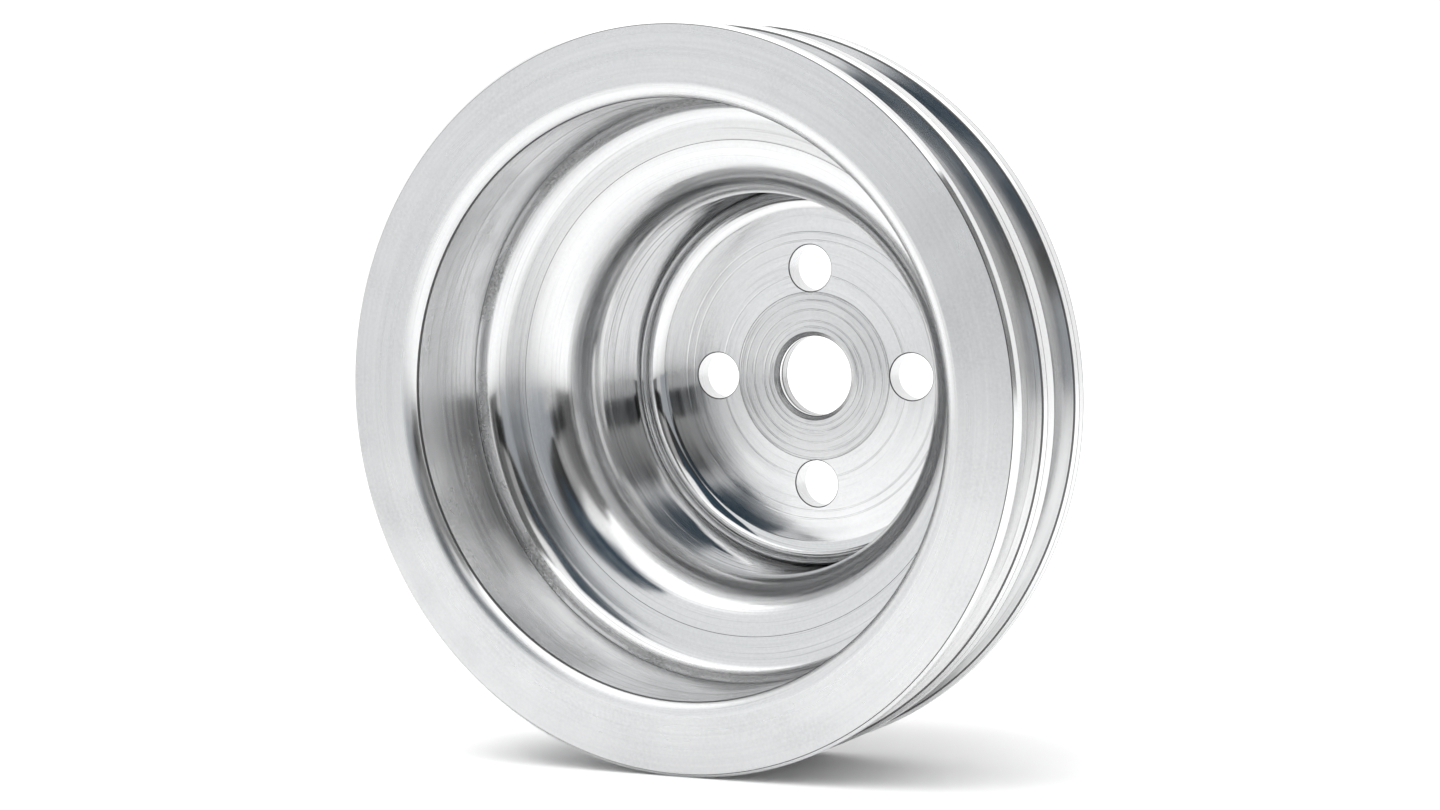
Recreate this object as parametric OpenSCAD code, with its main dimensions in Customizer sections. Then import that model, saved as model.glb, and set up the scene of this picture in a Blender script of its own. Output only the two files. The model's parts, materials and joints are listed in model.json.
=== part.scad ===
// Two-groove V-belt pulley with a deep dish, turned from one piece of aluminium.
// The axis lies along Y. The open side of the dish faces -Y and +Z is up.
// The origin is the centre of the bore on the rear mounting face.

/* [Rim] */
// Diameter over the three flanges
outer_d = 143.5; // [143.5:0.5:150]
// Width of the rim, from its front face to its rear face
rim_w = 32.4; // [32:0.2:34]
// Inside diameter of the rim
rim_bore_d = 114.8; // [112:0.2:115]
// Radial width of the rounded lip inside the front face
lip_w = 2.9; // [2:0.1:3]
// Depth of the rounded lip along the axis
lip_depth = 1.7; // [1:0.1:3]
// Radius of the curve across the lip
lip_curve_r = 3.8; // [3.5:0.1:8]
// Chamfer on the outer edges of the rim
edge_break = 0.7; // [0.4:0.1:1]

/* [Belt grooves] */
// Number of belt grooves
groove_count = 2; // [1:1:2]
// Width of a groove at the outer diameter
groove_w = 10.6; // [9.5:0.1:10.6]
// Angle between the two walls of a groove
groove_angle = 36; // [34:1:40]
// Depth of a groove below the outer diameter
groove_depth = 11.0; // [9:0.1:11]
// Distance between the centres of the two grooves
groove_pitch = 15.1; // [14.8:0.1:15.6]
// Distance from the front face to the centre of the first groove
groove_setback = 8.5; // [8.5:0.1:8.8]
// Chamfer on the edges of a groove
groove_chamfer = 0.6; // [0.2:0.1:0.7]

/* [Dish] */
// Distance from the front face to the shoulder, where it meets the fillet
shoulder_depth = 28.0; // [26:0.2:28]
// Slope of the shoulder down towards the cup
shoulder_slope = 8; // [0:1:12]
// Fillet between the rim and the shoulder
shoulder_fillet = 5.4; // [4:0.1:6]
// Radius of the rounded edge where the shoulder turns into the cup
shoulder_round = 12.4; // [10:0.1:12.4]
// Inside diameter of the cup
cup_d = 77.2; // [76:0.2:78]
// Step where the cup is bored a little wider than the rounded edge above it
cup_relief = 0.3; // [0.1:0.1:0.5]
// Outside diameter of the cup
cup_outer_d = 86.4; // [86:0.2:88]
// Fillet between the rim's rear face and the outside of the cup
neck_fillet = 7.8; // [6:0.1:8]
// Chamfer on the outside edge of the cup's floor
cup_edge = 1.5; // [0.5:0.1:2]

/* [Floor of the cup] */
// Total length along the axis, from the front face to the mounting face
total_l = 66.1; // [65:0.1:75]
// Thickness of the floor
floor_t = 4.6; // [3:0.1:6]
// Fillet between the cup and its floor
floor_fillet = 4.3; // [3:0.1:6]
// Diameter of the centre bore
bore_d = 16.5; // [15.9:0.1:19.1]
// Chamfer on the front edge of the bore
bore_chamfer = 0.95; // [0.4:0.05:1.5]
// Chamfer on the rear edge of the bore
bore_rear_chamfer = 0.4; // [0.2:0.1:1]

/* [Bolt circle] */
// Diameter of the bolt circle
bolt_circle_d = 44.45; // [40:0.05:46]
// Number of bolt holes
bolt_count = 4; // [3:1:6]
// Diameter of each bolt hole
bolt_hole_d = 9.6; // [8:0.1:10]

/* [Hidden] */
$fn = 128;
eps = 0.01;
over = 1;
outer_r = outer_d / 2;
rim_bore_r = rim_bore_d / 2;
cup_r = cup_d / 2;
cup_outer_r = cup_outer_d / 2;
bore_r = bore_d / 2;
front_h = total_l;
rim_rear_h = total_l - rim_w;
shoulder_h = total_l - shoulder_depth;
fillet_centre = [rim_bore_r - shoulder_fillet, shoulder_h + shoulder_fillet];
round_centre_r = cup_r - cup_relief + shoulder_round;
shoulder_inward = [-cos(shoulder_slope), -sin(shoulder_slope)];
shoulder_normal = [-sin(shoulder_slope), cos(shoulder_slope)];
shoulder_start = fillet_centre - shoulder_fillet * shoulder_normal;
shoulder_end_r = round_centre_r + shoulder_round * shoulder_normal.x;
shoulder_end = shoulder_start
    + shoulder_inward * (shoulder_end_r - shoulder_start.x) / shoulder_inward.x;
round_centre_h = shoulder_end.y - shoulder_round * shoulder_normal.y;
lip_chord = norm([lip_w, lip_depth]);
lip_centre_offset = sqrt(pow(lip_curve_r, 2) - pow(lip_chord / 2, 2));
lip_centre_r = rim_bore_r + lip_w / 2 + lip_centre_offset * lip_depth / lip_chord;
lip_centre_h = front_h - lip_depth / 2 - lip_centre_offset * lip_w / lip_chord;
groove_floor_w = groove_w - 2 * groove_depth * tan(groove_angle / 2);

// The shapes below are half sections: x is the radius from the axis, y the height
// above the rear mounting face.

// The bit of metal that a concave fillet leaves in a corner. The corner is at the
// origin and the metal lies towards -x and +y.
module fillet_corner(r) {
    difference() {
        translate([-r, -eps])
            square([r + eps, r + eps]);
        translate([-r, r])
            circle(r);
    }
}

// The solid section before the dish and the grooves are cut.
module blank_section() {
    polygon([
        [0, 0],
        [cup_outer_r - cup_edge, 0],
        [cup_outer_r, cup_edge],
        [cup_outer_r, rim_rear_h],
        [outer_r - edge_break, rim_rear_h],
        [outer_r, rim_rear_h + edge_break],
        [outer_r, front_h - edge_break],
        [outer_r - edge_break, front_h],
        [0, front_h]
    ]);
    translate([cup_outer_r, rim_rear_h])
        mirror([1, 0])
            mirror([0, 1])
                fillet_corner(neck_fillet);
}

// The wide part of the dish, inside the rim. The circle rounds its corner.
module rim_opening() {
    polygon([
        [-over, shoulder_end.y],
        shoulder_end,
        shoulder_start,
        fillet_centre,
        [rim_bore_r, fillet_centre.y],
        [rim_bore_r, front_h + over],
        [-over, front_h + over]
    ]);
    translate(fillet_centre)
        circle(shoulder_fillet);
}

// What the rounded lip takes off the corner between the rim's bore and its front face.
module lip_cut() {
    difference() {
        translate([rim_bore_r - over, lip_centre_h])
            square([lip_w + over, front_h - lip_centre_h + over]);
        translate([lip_centre_r, lip_centre_h])
            circle(lip_curve_r);
    }
}

// What the rounded edge takes off the corner between the shoulder and the cup.
module shoulder_round_cut() {
    difference() {
        translate([-over, round_centre_h])
            square([shoulder_end.x + over, shoulder_end.y - round_centre_h + eps]);
        translate([round_centre_r, round_centre_h])
            circle(shoulder_round);
    }
}

// The deep part of the dish, inside the cup.
module cup_opening() {
    difference() {
        translate([-over, floor_t])
            square([cup_r + over, round_centre_h - floor_t]);
        translate([cup_r, floor_t])
            fillet_corner(floor_fillet);
    }
}

module dish_section() {
    rim_opening();
    lip_cut();
    shoulder_round_cut();
    cup_opening();
}

// One V groove with chamfered edges, centred on height 0.
module groove_section() {
    top = groove_w / 2;
    bottom = groove_floor_w / 2;
    polygon([
        [outer_r + over, -top - groove_chamfer - over],
        [outer_r, -top - groove_chamfer],
        [outer_r - groove_chamfer, -top + groove_chamfer * tan(groove_angle / 2)],
        [outer_r - groove_depth, -bottom],
        [outer_r - groove_depth, bottom],
        [outer_r - groove_chamfer, top - groove_chamfer * tan(groove_angle / 2)],
        [outer_r, top + groove_chamfer],
        [outer_r + over, top + groove_chamfer + over]
    ]);
}

module bore_section() {
    polygon([
        [-over, -over],
        [bore_r + bore_rear_chamfer + over, -over],
        [bore_r, bore_rear_chamfer],
        [bore_r, floor_t - bore_chamfer],
        [bore_r + bore_chamfer + over, floor_t + over],
        [-over, floor_t + over]
    ]);
}

module pulley_section() {
    difference() {
        blank_section();
        dish_section();
        for (i = [0 : groove_count - 1])
            translate([0, front_h - groove_setback - i * groove_pitch])
                groove_section();
        bore_section();
    }
}

module bolt_holes() {
    for (i = [0 : bolt_count - 1])
        rotate([0, 0, i * 360 / bolt_count])
            translate([bolt_circle_d / 2, 0, -over])
                cylinder(d = bolt_hole_d, h = floor_t + 2 * over);
}

module pulley() {
    color("gainsboro")
        rotate([90, 0, 0])
            difference() {
                rotate_extrude()
                    pulley_section();
                bolt_holes();
            }
}

pulley();
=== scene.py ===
import json
import math

import bmesh
import bpy
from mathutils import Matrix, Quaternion, Vector


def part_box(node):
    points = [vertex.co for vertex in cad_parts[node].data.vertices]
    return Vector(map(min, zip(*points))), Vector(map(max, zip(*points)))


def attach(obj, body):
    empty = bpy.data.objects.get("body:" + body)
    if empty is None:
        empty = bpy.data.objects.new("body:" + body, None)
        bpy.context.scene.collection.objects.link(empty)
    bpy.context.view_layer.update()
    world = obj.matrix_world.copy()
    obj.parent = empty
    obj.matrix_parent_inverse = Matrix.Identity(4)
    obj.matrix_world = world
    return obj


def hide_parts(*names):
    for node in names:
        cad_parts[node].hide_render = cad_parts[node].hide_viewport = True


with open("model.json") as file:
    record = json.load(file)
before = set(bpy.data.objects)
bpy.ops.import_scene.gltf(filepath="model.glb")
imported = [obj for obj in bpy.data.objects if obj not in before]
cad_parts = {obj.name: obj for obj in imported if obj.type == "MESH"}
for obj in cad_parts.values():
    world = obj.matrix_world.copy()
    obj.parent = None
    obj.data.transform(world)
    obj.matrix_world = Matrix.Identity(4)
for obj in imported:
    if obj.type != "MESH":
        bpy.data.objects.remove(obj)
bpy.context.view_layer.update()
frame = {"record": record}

# Looks for the two-groove V-belt pulley. Everything is in metres, in the row's frame:
# the axis is Y, the open side of the dish faces -Y, and +Z is up.

MM = 0.001
cad_low, cad_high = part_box("pulley")
mounts = {mount["name"]: mount["dims"] for mount in frame["record"]["mounts"]}

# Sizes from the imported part.
OUTER_R = cad_high.x
LENGTH = -cad_low.y
BORE_R = mounts["bore"]["r_mm"] * MM
HOLE_R = mounts["bolt_circle"]["hole_r_mm"] * MM
HOLE_CIRCLE_R = mounts["bolt_circle"]["pcd_mm"] * MM / 2
HOLE_COUNT = mounts["bolt_circle"]["count"]

# Sizes that part.scad has under the same names. The slope is in degrees.
RIM_W = 32.4 * MM
RIM_BORE_R = 57.4 * MM
LIP_W = 2.9 * MM
LIP_DEPTH = 1.7 * MM
LIP_CURVE_R = 3.8 * MM
EDGE_BREAK = 0.7 * MM
GROOVE_COUNT = 2
GROOVE_W = 10.6 * MM
GROOVE_HALF_ANGLE = math.radians(18)
GROOVE_DEPTH = 11.0 * MM
GROOVE_PITCH = 15.1 * MM
GROOVE_SETBACK = 8.5 * MM
GROOVE_CHAMFER = 0.6 * MM
SHOULDER_DEPTH = 28.0 * MM
SHOULDER_SLOPE = 8
SHOULDER_FILLET = 5.4 * MM
SHOULDER_ROUND = 12.4 * MM
CUP_R = 38.6 * MM
CUP_RELIEF = 0.3 * MM
CUP_OUTER_R = 43.2 * MM
NECK_FILLET = 7.8 * MM
CUP_EDGE = 1.5 * MM
FLOOR_T = 4.6 * MM
FLOOR_FILLET = 4.3 * MM
BORE_CHAMFER = 0.95 * MM
BORE_REAR_CHAMFER = 0.4 * MM

# How finely the mesh is cut. PHASE turns it a little, so that no vertex lies on the lines
# through the bolt holes. Edges sharper than SHARP_ANGLE, in degrees, are shaded as edges.
SEGMENTS = 360
PHASE = 0.37
HOLE_SEGMENTS = 96
ARC_STEP = math.radians(5)
EDGE_MARGIN = 0.12 * MM
SHARP_ANGLE = 22

# Details that only the looks have: turned-in marks, dark lines of painted shade along edges and
# in corners, deburred holes, and where the rings in the dish and the bore change. The two angles
# are in degrees.
MARK_W = 0.36 * MM
MARK_DEPTH = 0.045 * MM
LINE_W = 0.22 * MM
SOFT_LINE_W = 0.1 * MM
WALL_LINE_W = 0.55 * MM
WALL_MARKS = (8.6 * MM,)
CHATTER_ANGLE = 35
THROAT_START = 138
CUP_MARKS = (2.5 * MM, 5.5 * MM)
FLOOR_MARK_RADII = (29.6 * MM, 27.9 * MM, 21.0 * MM)
HUB_R = 17.4 * MM
HUB_MARK_RADII = (17.0 * MM, 15.6 * MM, 13.7 * MM, 11.4 * MM, 10.2 * MM)
HOLE_DEBURR = 0.2 * MM
# BORE_RING is the width of the painted highlight band at the front of the bore.
BORE_RING = 1.3 * MM

# The metal's grain, and the patches where it is scuffed.
GRAIN = 0.12
GRAIN_SIZE = 0.6 * MM
PATCH_SIZE = 14 * MM
SCUFF_HEIGHT = 0.03 * MM

# The metal of each stretch of the section. turned_metal() says what the settings do.
METALS = {
    "face": dict(tone=0.67, roughness=0.3, wave=0, streak=0.05, scuffs=0.08),
    "lip": dict(tone=0.71, roughness=0.23, streak=0.04, lines=0.15),
    "wall": dict(tone=0.77, roughness=0.19, lines=0.3, scuffs=0.15),
    "chatter": dict(tone=0.72, roughness=0.24, lines=0.45, scuffs=0.9),
    "fillet": dict(tone=0.69, roughness=0.14, lines=0.3),
    "shoulder": dict(tone=0.69, roughness=0.14, pitch=0.4 * MM, streak=0.04, lines=0.3),
    "round": dict(tone=0.7, roughness=0.13, pitch=0.4 * MM, streak=0.03, lines=0.15),
    # The throat, deep in the dish, has a darker tone: painted shade.
    "throat_shade": dict(tone=0.6, roughness=0.15, streak=0.08, lines=0.4),
    "cup": dict(tone=0.7, roughness=0.07, lines=0.25),
    "floor": dict(tone=0.74, roughness=0.16, wave=0.006 * MM, streak=0.035, lines=0.15),
    "hub": dict(tone=0.64, roughness=0.19, wave=0.008 * MM, streak=0.06, lines=0.35),
    "bore": dict(tone=0.5, roughness=0.2, streak=0.12, lines=0.6),
    "hole": dict(tone=0.66, roughness=0.3, anisotropy=0.2),
    # edge also paints the highlight band at the front of the bore.
    "edge": dict(tone=0.8, roughness=0.2),
    "land": dict(tone=0.72, roughness=0.22, lines=0.2),
    "flank": dict(tone=0.62, roughness=0.15, streak=0.16, lines=0.6),
    # The dark lines along edges and in corners are painted shade.
    "shade_line": dict(tone=0.14, roughness=0.4, anisotropy=0.3, streak=0.04),
    "back": dict(tone=0.54, roughness=0.28, streak=0.08, lines=0.35),
}

# The table starts this far in front of the origin, is painted darker from TABLE_SHADE to its front
# edge as a painted shadow of what stands in front of it, and runs back to TABLE_FAR.
TABLE_REACH = 0.93
TABLE_SHADE = 0.2
TABLE_FAR = 6.0

# The world's light, the elevation of the table's front edge and the azimuths of the side that
# is a little dimmer, with the softness of its edges. Angles are in degrees.
STUDIO_LIGHT = 1.2
HORIZON = -4.2
HORIZON_SOFT = 0.6
DIM_SIDE = (-60, -15, 15)

# What stands in front of the object and shows in its metal: azimuths, elevations and edge
# softness in degrees, and how light and how blue it is. Azimuth 0 is straight ahead of the open
# side and grows towards +X. Later ones stand in front of earlier ones.
ROOM = {
    "ceiling": ((-180, 180), (50, 90), 12, (1.4, 0)),
    "pale floor": ((-14, 38), (-10, 5), 2, (0.38, 0.06)),
    "bright floor": ((20, 36), (-10, 0), 2, (0.55, 0)),
    "grey wall": ((41, 70), (-10, 44), 3, (0.16, 0)),
    "pale wall": ((25, 40), (9, 26), 2.5, (0.4, 0)),
    "bench": ((26, 52), (2, 9), 1.5, (0.02, 0)),
    "dark bag": ((-11, 23), (7, 25), 2, (0.04, 0)),
    "blue coat": ((-10, 13), (14, 39), 2.5, (0.06, 0.4)),
    "post": ((62, 70), (-10, 46), 2, (0.04, 0)),
}

# --- Profile: points are (radius, height above the rear mounting face) -------------

def straight(start, end, marks=()):
    """Points from start to end, with fine turned-in marks at these distances from start."""
    start, end = Vector(start), Vector(end)
    length = (end - start).length
    along = (end - start) / length
    into_metal = Vector((-along.y, along.x))
    margin = min(EDGE_MARGIN, length / 4)
    steps = [(0, 0), (margin, 0)]
    for mark in sorted(marks):
        steps += [(mark - MARK_W / 2, 0), (mark - MARK_W / 4, MARK_DEPTH)]
        steps += [(mark + MARK_W / 4, MARK_DEPTH), (mark + MARK_W / 2, 0)]
    steps += [(length - margin, 0), (length, 0)]
    return [start + along * distance + into_metal * depth for distance, depth in steps]


def lined(zone, points, first=0.0, last=0.0):
    """Zones for these points, with dark lines of painted shade this wide along the first and last
    edges.
    """
    zones = [(zone, points)]
    if first:
        split = points[0] + (points[1] - points[0]).normalized() * first
        rest = [p for p in points[1:] if (p - points[0]).length > first]
        zones = [("shade_line", [points[0], split]), (zone, [split] + rest)]
    if last:
        zone, points = zones[-1]
        split = points[-1] + (points[-2] - points[-1]).normalized() * last
        rest = [p for p in points[:-1] if (p - points[-1]).length > last]
        zones[-1:] = [(zone, rest + [split]), ("shade_line", [split, points[-1]])]
    return zones


def arc(centre, radius, start, end):
    """Points on a circle from the angle start to the angle end, in degrees."""
    start, end = math.radians(start), math.radians(end)
    count = max(2, math.ceil(abs(end - start) / ARC_STEP))
    angles = [start + (end - start) * i / count for i in range(count + 1)]
    x, y = centre
    return [Vector((x + radius * math.cos(a), y + radius * math.sin(a))) for a in angles]


def groove_zones(centre_h):
    """One V groove, from its rear edge to its front edge."""
    top = GROOVE_W / 2
    slope = math.tan(GROOVE_HALF_ANGLE)
    bottom = top - GROOVE_DEPTH * slope
    edge_r = OUTER_R - GROOVE_CHAMFER
    edge = top - GROOVE_CHAMFER * slope
    floor_r = OUTER_R - GROOVE_DEPTH
    rear_edge = straight((OUTER_R, centre_h - top - GROOVE_CHAMFER), (edge_r, centre_h - edge))
    rear_flank = straight((edge_r, centre_h - edge), (floor_r, centre_h - bottom))
    bottom_face = straight((floor_r, centre_h - bottom), (floor_r, centre_h + bottom))
    front_flank = straight((floor_r, centre_h + bottom), (edge_r, centre_h + edge))
    front_edge = straight((edge_r, centre_h + edge), (OUTER_R, centre_h + top + GROOVE_CHAMFER))
    return [
        *lined("edge", rear_edge, last=LINE_W),
        *lined("flank", rear_flank, first=LINE_W),
        ("flank", bottom_face),
        ("flank", front_flank),
        *lined("edge", front_edge, last=LINE_W),
    ]


def rim_zones():
    """The outside of the rim, from its rear face to its front face."""
    rear_h = LENGTH - RIM_W
    rear_edge = straight((OUTER_R - EDGE_BREAK, rear_h), (OUTER_R, rear_h + EDGE_BREAK))
    front_edge = straight((OUTER_R, LENGTH - EDGE_BREAK), (OUTER_R - EDGE_BREAK, LENGTH))
    zones = [("edge", rear_edge)]
    land_start = rear_h + EDGE_BREAK
    half = GROOVE_W / 2 + GROOVE_CHAMFER
    for i in reversed(range(GROOVE_COUNT)):
        centre_h = LENGTH - GROOVE_SETBACK - i * GROOVE_PITCH
        land = straight((OUTER_R, land_start), (OUTER_R, centre_h - half))
        zones += lined("land", land, first=LINE_W, last=LINE_W)
        zones += groove_zones(centre_h)
        land_start = centre_h + half
    zones.append(("land", straight((OUTER_R, land_start), (OUTER_R, LENGTH - EDGE_BREAK))))
    zones += lined("edge", front_edge, last=LINE_W)
    return zones


def lip_arc():
    """The rounded lip between the front face and the rim's bore."""
    chord = math.hypot(LIP_W, LIP_DEPTH)
    offset = math.sqrt(LIP_CURVE_R ** 2 - (chord / 2) ** 2)
    centre_r = RIM_BORE_R + LIP_W / 2 + offset * LIP_DEPTH / chord
    centre_h = LENGTH - LIP_DEPTH / 2 - offset * LIP_W / chord
    start = math.degrees(math.atan2(LENGTH - centre_h, RIM_BORE_R + LIP_W - centre_r))
    end = math.degrees(math.atan2(LENGTH - LIP_DEPTH - centre_h, RIM_BORE_R - centre_r))
    return arc((centre_r, centre_h), LIP_CURVE_R, start, end % 360)


def dish_zones():
    """The inside of the dish, from the front face down to the bore."""
    fillet_centre = (RIM_BORE_R - SHOULDER_FILLET, LENGTH - SHOULDER_DEPTH + SHOULDER_FILLET)
    wall_end_h = fillet_centre[1]
    round_r = CUP_R - CUP_RELIEF + SHOULDER_ROUND
    slope = math.radians(SHOULDER_SLOPE)
    shoulder_start = arc(fillet_centre, SHOULDER_FILLET, 0, SHOULDER_SLOPE - 90)[-1]
    shoulder_end_r = round_r - SHOULDER_ROUND * math.sin(slope)
    shoulder_end_h = shoulder_start.y - (shoulder_start.x - shoulder_end_r) * math.tan(slope)
    cup_top_h = shoulder_end_h - SHOULDER_ROUND * math.cos(slope)
    floor_edge_r = CUP_R - FLOOR_FILLET
    floor_edge_h = FLOOR_T + FLOOR_FILLET
    floor_marks = [floor_edge_r - r for r in FLOOR_MARK_RADII]
    hub_marks = [HUB_R - r for r in HUB_MARK_RADII]
    wall = straight((RIM_BORE_R, LENGTH - LIP_DEPTH), (RIM_BORE_R, wall_end_h), WALL_MARKS)
    chatter = arc(fillet_centre, SHOULDER_FILLET, 0, -CHATTER_ANGLE)
    fillet = arc(fillet_centre, SHOULDER_FILLET, -CHATTER_ANGLE, SHOULDER_SLOPE - 90)
    shoulder = straight(shoulder_start, (shoulder_end_r, shoulder_end_h))
    cup_wall = straight((CUP_R, cup_top_h), (CUP_R, floor_edge_h), CUP_MARKS)
    floor = straight((floor_edge_r, FLOOR_T), (HUB_R, FLOOR_T), floor_marks)
    hub = straight((HUB_R, FLOOR_T), (BORE_R + BORE_CHAMFER, FLOOR_T), hub_marks)
    bore_edge = straight((BORE_R + BORE_CHAMFER, FLOOR_T), (BORE_R, FLOOR_T - BORE_CHAMFER))
    return [
        *lined("lip", lip_arc(), last=LINE_W),
        *lined("wall", wall, first=WALL_LINE_W),
        *lined("chatter", chatter, first=LINE_W),
        ("fillet", fillet),
        *lined("shoulder", shoulder, last=SOFT_LINE_W),
        ("round", arc((round_r, cup_top_h), SHOULDER_ROUND, 90 + SHOULDER_SLOPE, THROAT_START)),
        # The deeper part of the round is darker: painted shade in the throat of the dish.
        ("throat_shade", arc((round_r, cup_top_h), SHOULDER_ROUND, THROAT_START, 180)),
        # The relief step where the round meets the cup is painted dark: painted shade under the end
        # of the round.
        ("shade_line", straight((CUP_R - CUP_RELIEF, cup_top_h), (CUP_R, cup_top_h))),
        ("cup", cup_wall),
        *lined("cup", arc((floor_edge_r, floor_edge_h), FLOOR_FILLET, 0, -90), first=LINE_W),
        ("floor", floor),
        *lined("hub", hub, first=SOFT_LINE_W),
        *lined("bore", bore_edge, last=LINE_W),
    ]


def rear_zones():
    """The back of the pulley, from the bore out to the rim."""
    rear_h = LENGTH - RIM_W
    bore_top = (BORE_R, FLOOR_T - BORE_CHAMFER)
    bore_ring = (BORE_R, FLOOR_T - BORE_CHAMFER - BORE_RING)
    bore_end = (BORE_R, BORE_REAR_CHAMFER)
    return [
        # The first stretch of the bore is a lighter painted highlight band, and the dark band after
        # it is a painted shadow of a step that the mesh doesn't have.
        *lined("edge", straight(bore_top, bore_ring), last=WALL_LINE_W),
        *lined("bore", straight(bore_ring, bore_end), last=LINE_W),
        ("bore", straight((BORE_R, BORE_REAR_CHAMFER), (BORE_R + BORE_REAR_CHAMFER, 0))),
        ("back", straight((BORE_R + BORE_REAR_CHAMFER, 0), (CUP_OUTER_R - CUP_EDGE, 0))),
        ("back", straight((CUP_OUTER_R - CUP_EDGE, 0), (CUP_OUTER_R, CUP_EDGE))),
        ("back", straight((CUP_OUTER_R, CUP_EDGE), (CUP_OUTER_R, rear_h - NECK_FILLET))),
        ("back", arc((CUP_OUTER_R + NECK_FILLET, rear_h - NECK_FILLET), NECK_FILLET, 180, 90)),
        ("back", straight((CUP_OUTER_R + NECK_FILLET, rear_h), (OUTER_R - EDGE_BREAK, rear_h))),
    ]


def pulley_zones():
    """The whole closed section, as (zone, points) stretches that meet end to end."""
    face = straight((OUTER_R - EDGE_BREAK, LENGTH), (RIM_BORE_R + LIP_W, LENGTH))
    return rim_zones() + [("face", face)] + dish_zones() + rear_zones()


# --- Mesh ---------------------------------------------------------------------------

def lathe(name, zones, materials):
    """Turns the closed profile about Y, with a material for each zone."""
    rings = []
    ring_zones = []
    for zone, points in zones:
        for point in points[:-1]:
            rings.append(point)
            ring_zones.append(zone)
    verts = []
    for radius, height in rings:
        for k in range(SEGMENTS):
            turn = 2 * math.pi * (k + PHASE) / SEGMENTS
            verts.append((radius * math.cos(turn), -height, radius * math.sin(turn)))
    slots = list(materials)
    faces = []
    face_slots = []
    for i, zone in enumerate(ring_zones):
        this, after = i * SEGMENTS, (i + 1) % len(rings) * SEGMENTS
        for k in range(SEGMENTS):
            right = (k + 1) % SEGMENTS
            faces.append((this + k, this + right, after + right, after + k))
            face_slots.append(slots.index(zone))
    mesh = bpy.data.meshes.new(name)
    mesh.from_pydata(verts, [], faces)
    for material in materials.values():
        mesh.materials.append(material)
    mesh.polygons.foreach_set("material_index", face_slots)
    mesh.update()
    piece = bpy.data.objects.new(name, mesh)
    bpy.context.scene.collection.objects.link(piece)
    return piece


def add_hole_cutter(cutters, turn, wall_slot, edge_slot):
    """Adds the cutter for one bolt hole, flared where it leaves the floor on both sides."""
    flare = HOLE_DEBURR
    steps = [(2 * flare, -flare), (0, flare), (0, FLOOR_T - flare), (2 * flare, FLOOR_T + flare)]
    centre = Vector((math.cos(turn), 0, math.sin(turn))) * HOLE_CIRCLE_R
    rings = []
    for wider, height in steps:
        ring = []
        for k in range(HOLE_SEGMENTS):
            angle = 2 * math.pi * k / HOLE_SEGMENTS
            offset = Vector((math.cos(angle), 0, math.sin(angle))) * (HOLE_R + wider)
            ring.append(cutters.verts.new(centre + offset + Vector((0, -height, 0))))
        rings.append(ring)
    slots = (edge_slot, wall_slot, edge_slot)
    for lower, upper, slot in zip(rings, rings[1:], slots):
        for k in range(HOLE_SEGMENTS):
            right = (k + 1) % HOLE_SEGMENTS
            side = cutters.faces.new((lower[k], lower[right], upper[right], upper[k]))
            side.material_index = slot
    cutters.faces.new(rings[0])
    cutters.faces.new(rings[-1])


def cut_holes(piece, wall_slot, edge_slot):
    """Cuts the bolt holes out of the floor and applies the result to the mesh."""
    cutters = bmesh.new()
    for i in range(HOLE_COUNT):
        add_hole_cutter(cutters, 2 * math.pi * i / HOLE_COUNT, wall_slot, edge_slot)
    bmesh.ops.recalc_face_normals(cutters, faces=cutters.faces)
    mesh = bpy.data.meshes.new("hole_cutters")
    cutters.to_mesh(mesh)
    cutters.free()
    tool = bpy.data.objects.new("hole_cutters", mesh)
    bpy.context.scene.collection.objects.link(tool)
    modifier = piece.modifiers.new("holes", "BOOLEAN")
    modifier.operation = "DIFFERENCE"
    modifier.solver = "EXACT"
    modifier.object = tool
    graph = bpy.context.evaluated_depsgraph_get()
    cut = bpy.data.meshes.new_from_object(piece.evaluated_get(graph))
    piece.modifiers.clear()
    piece.data = cut
    bpy.data.objects.remove(tool)


def smooth(piece, angle):
    """Shades the piece smooth, except across edges sharper than angle in degrees."""
    mesh = piece.data
    mesh.polygons.foreach_set("use_smooth", [True] * len(mesh.polygons))
    mesh.set_sharp_from_angle(angle=math.radians(angle))


# --- Materials ------------------------------------------------------------------------

def node(tree, kind, **settings):
    """A new node with these settings."""
    made = tree.nodes.new(kind)
    for key, value in settings.items():
        setattr(made, key, value)
    return made


def maths(tree, operation, first, second=None):
    """A maths node on two values or sockets. Returns its result."""
    made = tree.nodes.new("ShaderNodeMath")
    made.operation = operation
    for socket, value in zip(made.inputs, (first, second)):
        if isinstance(value, bpy.types.NodeSocket):
            tree.links.new(value, socket)
        elif value is not None:
            socket.default_value = value
    return made.outputs[0]


def map_range(tree, value, start, end, low, high, interpolation="LINEAR"):
    """Maps value from start..end to low..high, and keeps it inside. Returns the result."""
    made = node(tree, "ShaderNodeMapRange", interpolation_type=interpolation)
    for socket, number in zip(made.inputs[1:5], (start, end, low, high)):
        socket.default_value = number
    tree.links.new(value, made.inputs[0])
    return made.outputs[0]


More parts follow.
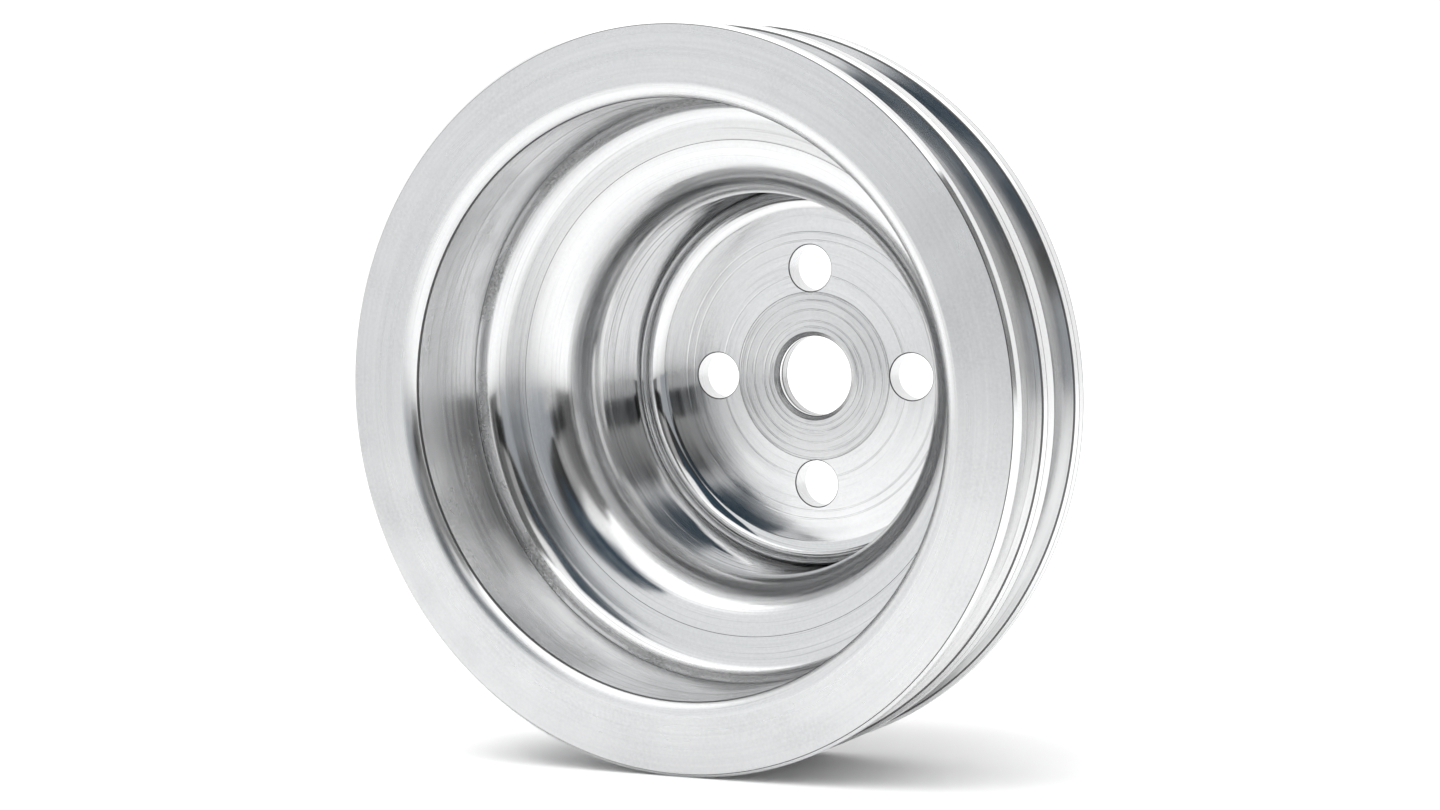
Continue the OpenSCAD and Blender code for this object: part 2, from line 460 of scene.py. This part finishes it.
def rings_noise(tree, pitch, arcs, detail):
    """Noise that runs round the axis: rings this far apart, broken into about this many arcs."""
    place = node(tree, "ShaderNodeTexCoord").outputs["Object"]
    flat = node(tree, "ShaderNodeVectorMath", operation="MULTIPLY")
    flat.inputs[1].default_value = (1, 0, 1)
    tree.links.new(place, flat.inputs[0])
    radius = node(tree, "ShaderNodeVectorMath", operation="LENGTH")
    tree.links.new(flat.outputs[0], radius.inputs[0])
    split = node(tree, "ShaderNodeSeparateXYZ")
    tree.links.new(place, split.inputs[0])
    across = maths(tree, "SUBTRACT", radius.outputs["Value"], split.outputs["Y"])
    around = node(tree, "ShaderNodeVectorMath", operation="NORMALIZE")
    tree.links.new(flat.outputs[0], around.inputs[0])
    spread = node(tree, "ShaderNodeVectorMath", operation="SCALE")
    spread.inputs["Scale"].default_value = arcs / (2 * math.pi)
    tree.links.new(around.outputs[0], spread.inputs[0])
    noise = node(tree, "ShaderNodeTexNoise", noise_dimensions="4D")
    noise.inputs["Scale"].default_value = 1
    noise.inputs["Detail"].default_value = detail
    tree.links.new(spread.outputs[0], noise.inputs["Vector"])
    tree.links.new(maths(tree, "DIVIDE", across, pitch), noise.inputs["W"])
    return noise.outputs["Fac"]


def patch_noise(tree, size, detail):
    """Noise with no direction, in patches of this size."""
    place = node(tree, "ShaderNodeTexCoord").outputs["Object"]
    noise = node(tree, "ShaderNodeTexNoise", noise_dimensions="3D")
    noise.inputs["Scale"].default_value = 1 / size
    noise.inputs["Detail"].default_value = detail
    tree.links.new(place, noise.inputs["Vector"])
    return noise.outputs["Fac"]


def spread_to(tree, value, low, high):
    """Maps the middle of a noise to low..high."""
    return map_range(tree, value, 0.3, 0.7, low, high)


def mixed(tree, factor, first, second):
    """A colour between first and second. Returns its socket."""
    made = node(tree, "ShaderNodeMix", data_type="RGBA")
    for name, value in (("Factor", factor), ("A", first), ("B", second)):
        socket = made.inputs[name]
        if isinstance(value, bpy.types.NodeSocket):
            tree.links.new(value, socket)
        else:
            socket.default_value = value
    return made.outputs["Result"]


def grey(tone, cool=0.0):
    """A neutral metal tone, a little blue if cool."""
    return (tone * (1 - cool), tone, tone * (1 + cool), 1)


def turned_metal(name, tone=0.7, roughness=0.2, anisotropy=0.8, pitch=0.55 * MM, relief=0.004 * MM,
                 wave=0.02 * MM, uneven=0.06, streak=0.06, lines=0.0, scuffs=0.0):
    """Bare turned aluminium. Tool marks run round the axis.

    relief and wave are the heights of the fine and broad rings. streak lightens and darkens
    the rings, lines adds fine dark rings, and scuffs adds dull patches of chatter.
    """
    material = bpy.data.materials.new(name)
    material.use_nodes = True
    tree = material.node_tree
    shader = tree.nodes["Principled BSDF"]
    shader.inputs["Metallic"].default_value = 1
    shader.inputs["Anisotropic"].default_value = anisotropy
    shader.inputs["Anisotropic Rotation"].default_value = 0.25
    tangent = node(tree, "ShaderNodeTangent", direction_type="RADIAL", axis="Y")
    tree.links.new(tangent.outputs[0], shader.inputs["Tangent"])

    fine = rings_noise(tree, pitch, arcs=7, detail=4)
    broad = rings_noise(tree, pitch * 4, arcs=2.5, detail=3)
    scratches = rings_noise(tree, pitch * 0.9, arcs=9, detail=2)
    patches = patch_noise(tree, PATCH_SIZE, detail=3)
    grain = patch_noise(tree, GRAIN_SIZE, detail=4)
    worn = map_range(tree, patches, 0.48, 0.62, 0.0, scuffs)
    rough_spot = maths(tree, "MULTIPLY", worn, spread_to(tree, grain, 0, 1))

    both = maths(tree, "MULTIPLY", maths(tree, "ADD", fine, broad), 0.5)
    colour = mixed(tree, spread_to(tree, both, 0, 1), grey(tone - streak, 0.01), grey(tone + streak))
    dark_line = map_range(tree, scratches, 0.34, 0.42, lines, 0.0)
    colour = mixed(tree, dark_line, colour, grey(tone * 0.35))
    colour = mixed(tree, spread_to(tree, grain, 0, GRAIN), colour, grey(tone * 0.5))
    colour = mixed(tree, rough_spot, colour, grey(tone * 0.3))
    tree.links.new(colour, shader.inputs["Base Color"])

    rough = maths(tree, "ADD", spread_to(tree, broad, -uneven, uneven), roughness)
    rough = maths(tree, "ADD", rough, spread_to(tree, patches, -uneven / 2, uneven / 2))
    rough = maths(tree, "ADD", rough, maths(tree, "MULTIPLY", rough_spot, 0.3))
    tree.links.new(rough, shader.inputs["Roughness"])

    height = maths(tree, "MULTIPLY", fine, relief)
    height = maths(tree, "ADD", height, maths(tree, "MULTIPLY", broad, wave))
    height = maths(tree, "ADD", height, maths(tree, "MULTIPLY", rough_spot, SCUFF_HEIGHT))
    bump = node(tree, "ShaderNodeBump")
    bump.inputs["Strength"].default_value = 1
    bump.inputs["Distance"].default_value = 1
    tree.links.new(height, bump.inputs["Height"])
    tree.links.new(bump.outputs[0], shader.inputs["Normal"])
    return material


def pulley_materials():
    """A material for each stretch of the section."""
    return {zone: turned_metal(zone + "_metal", **settings) for zone, settings in METALS.items()}


def table_material():
    """Matt white paint, a little uneven, with a painted shadow that darkens it towards the table's
    front edge.
    """
    material = bpy.data.materials.new("white_table")
    material.use_nodes = True
    tree = material.node_tree
    shader = tree.nodes["Principled BSDF"]
    shader.inputs["Roughness"].default_value = 1
    shader.inputs["Specular IOR Level"].default_value = 0
    place = node(tree, "ShaderNodeTexCoord").outputs["Object"]
    split = node(tree, "ShaderNodeSeparateXYZ")
    tree.links.new(place, split.inputs[0])
    front = map_range(tree, split.outputs["Y"], -TABLE_SHADE, -TABLE_REACH, 0.0, 1.0)
    paint = mixed(tree, patch_noise(tree, 0.3, detail=2), grey(0.93), grey(0.95))
    # Painted shadow: the paint turns grey towards the front edge.
    paint = mixed(tree, front, paint, grey(0.5))
    tree.links.new(paint, shader.inputs["Base Color"])
    return material


# --- Studio -----------------------------------------------------------------------------

def make_table():
    """A pale table that ends a little in front of the object and runs far back."""
    mesh = bpy.data.meshes.new("table")
    low, high = (-TABLE_FAR, -TABLE_REACH), (TABLE_FAR, TABLE_FAR)
    corners = [(low[0], low[1]), (high[0], low[1]), (high[0], high[1]), (low[0], high[1])]
    mesh.from_pydata([(x, y, cad_low.z) for x, y in corners], [], [(0, 1, 2, 3)])
    mesh.materials.append(table_material())
    table = bpy.data.objects.new("table", mesh)
    bpy.context.scene.collection.objects.link(table)


def band(tree, value, low, high, soft):
    """1 between low and high, falling smoothly to 0 over soft on each side."""
    rise = map_range(tree, value, low - soft, low, 0.0, 1.0, "SMOOTHSTEP")
    fall = map_range(tree, value, high, high + soft, 1.0, 0.0, "SMOOTHSTEP")
    return maths(tree, "MULTIPLY", rise, fall)


def studio_world():
    """A white studio with the room in front of the object. The camera itself sees plain white."""
    world = bpy.data.worlds.new("studio")
    world.use_nodes = True
    bpy.context.scene.world = world
    tree = world.node_tree
    background = tree.nodes["Background"]
    direction = node(tree, "ShaderNodeTexCoord").outputs["Generated"]
    split = node(tree, "ShaderNodeSeparateXYZ")
    tree.links.new(direction, split.inputs[0])
    ahead = maths(tree, "MULTIPLY", split.outputs["Y"], -1)
    azimuth = maths(tree, "DEGREES", maths(tree, "ARCTAN2", split.outputs["X"], ahead))
    elevation = maths(tree, "DEGREES", maths(tree, "ARCSINE", split.outputs["Z"]))
    dim = band(tree, azimuth, *DIM_SIDE)
    colour = mixed(tree, dim, grey(1), grey(0.86, 0.015))
    over_table = band(tree, elevation, HORIZON, 90, HORIZON_SOFT)
    for across, up, soft, (tone, blue) in ROOM.values():
        beside = band(tree, azimuth, *across, soft)
        patch = maths(tree, "MULTIPLY", beside, band(tree, elevation, *up, soft))
        colour = mixed(tree, maths(tree, "MULTIPLY", patch, over_table), colour, grey(tone, blue))
    seen = node(tree, "ShaderNodeLightPath").outputs["Is Camera Ray"]
    tree.links.new(mixed(tree, seen, colour, grey(1)), background.inputs["Color"])
    background.inputs["Strength"].default_value = STUDIO_LIGHT


def softbox(name, place, size, power, target):
    """A square light aimed at target, which doesn't show in the metal."""
    light = bpy.data.lights.new(name, "AREA")
    light.shape = "RECTANGLE"
    light.size, light.size_y = size
    light.energy = power
    lamp = bpy.data.objects.new(name, light)
    lamp.location = place
    lamp.rotation_mode = "QUATERNION"
    lamp.rotation_quaternion = (Vector(target) - Vector(place)).to_track_quat("-Z", "Y")
    lamp.visible_glossy = False
    bpy.context.scene.collection.objects.link(lamp)


def make_camera():
    """The photograph's viewpoint. The object sits a little aside of and below the middle."""
    azimuth, elevation, roll = math.radians(28.73), math.radians(4.79), math.radians(-1.94)
    distance, aside, below = 640.1 * MM, 5.6 * MM, 3.4 * MM
    level = math.cos(elevation)
    back = Vector((math.sin(azimuth) * level, -math.cos(azimuth) * level, math.sin(elevation)))
    turn = (-back).to_track_quat("-Z", "Y") @ Quaternion((0, 0, 1), roll)
    aim = (cad_low + cad_high) / 2 - turn @ Vector((aside, below, 0))
    camera = bpy.data.cameras.new("camera")
    camera.sensor_width = 36
    camera.lens = 80.9
    camera.clip_start = 0.01
    holder = bpy.data.objects.new("camera", camera)
    holder.rotation_mode = "QUATERNION"
    holder.rotation_quaternion = turn
    holder.location = aim + back * distance
    bpy.context.scene.collection.objects.link(holder)
    bpy.context.scene.camera = holder


# --- Scene --------------------------------------------------------------------------------

make_camera()
make_table()
studio_world()
softbox("overhead", (-0.25, -0.25, 1.0), (0.8, 0.8), 4.5, (0, -0.03, 0))
bpy.context.scene.view_settings.view_transform = "Standard"

materials = pulley_materials()
pulley = lathe("turned_pulley", pulley_zones(), materials)
# The flares round the bolt holes take the dark line metal: painted shade along the hole edges.
cut_holes(pulley, list(materials).index("hole"), list(materials).index("shade_line"))
smooth(pulley, SHARP_ANGLE)
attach(pulley, "root")
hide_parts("pulley")
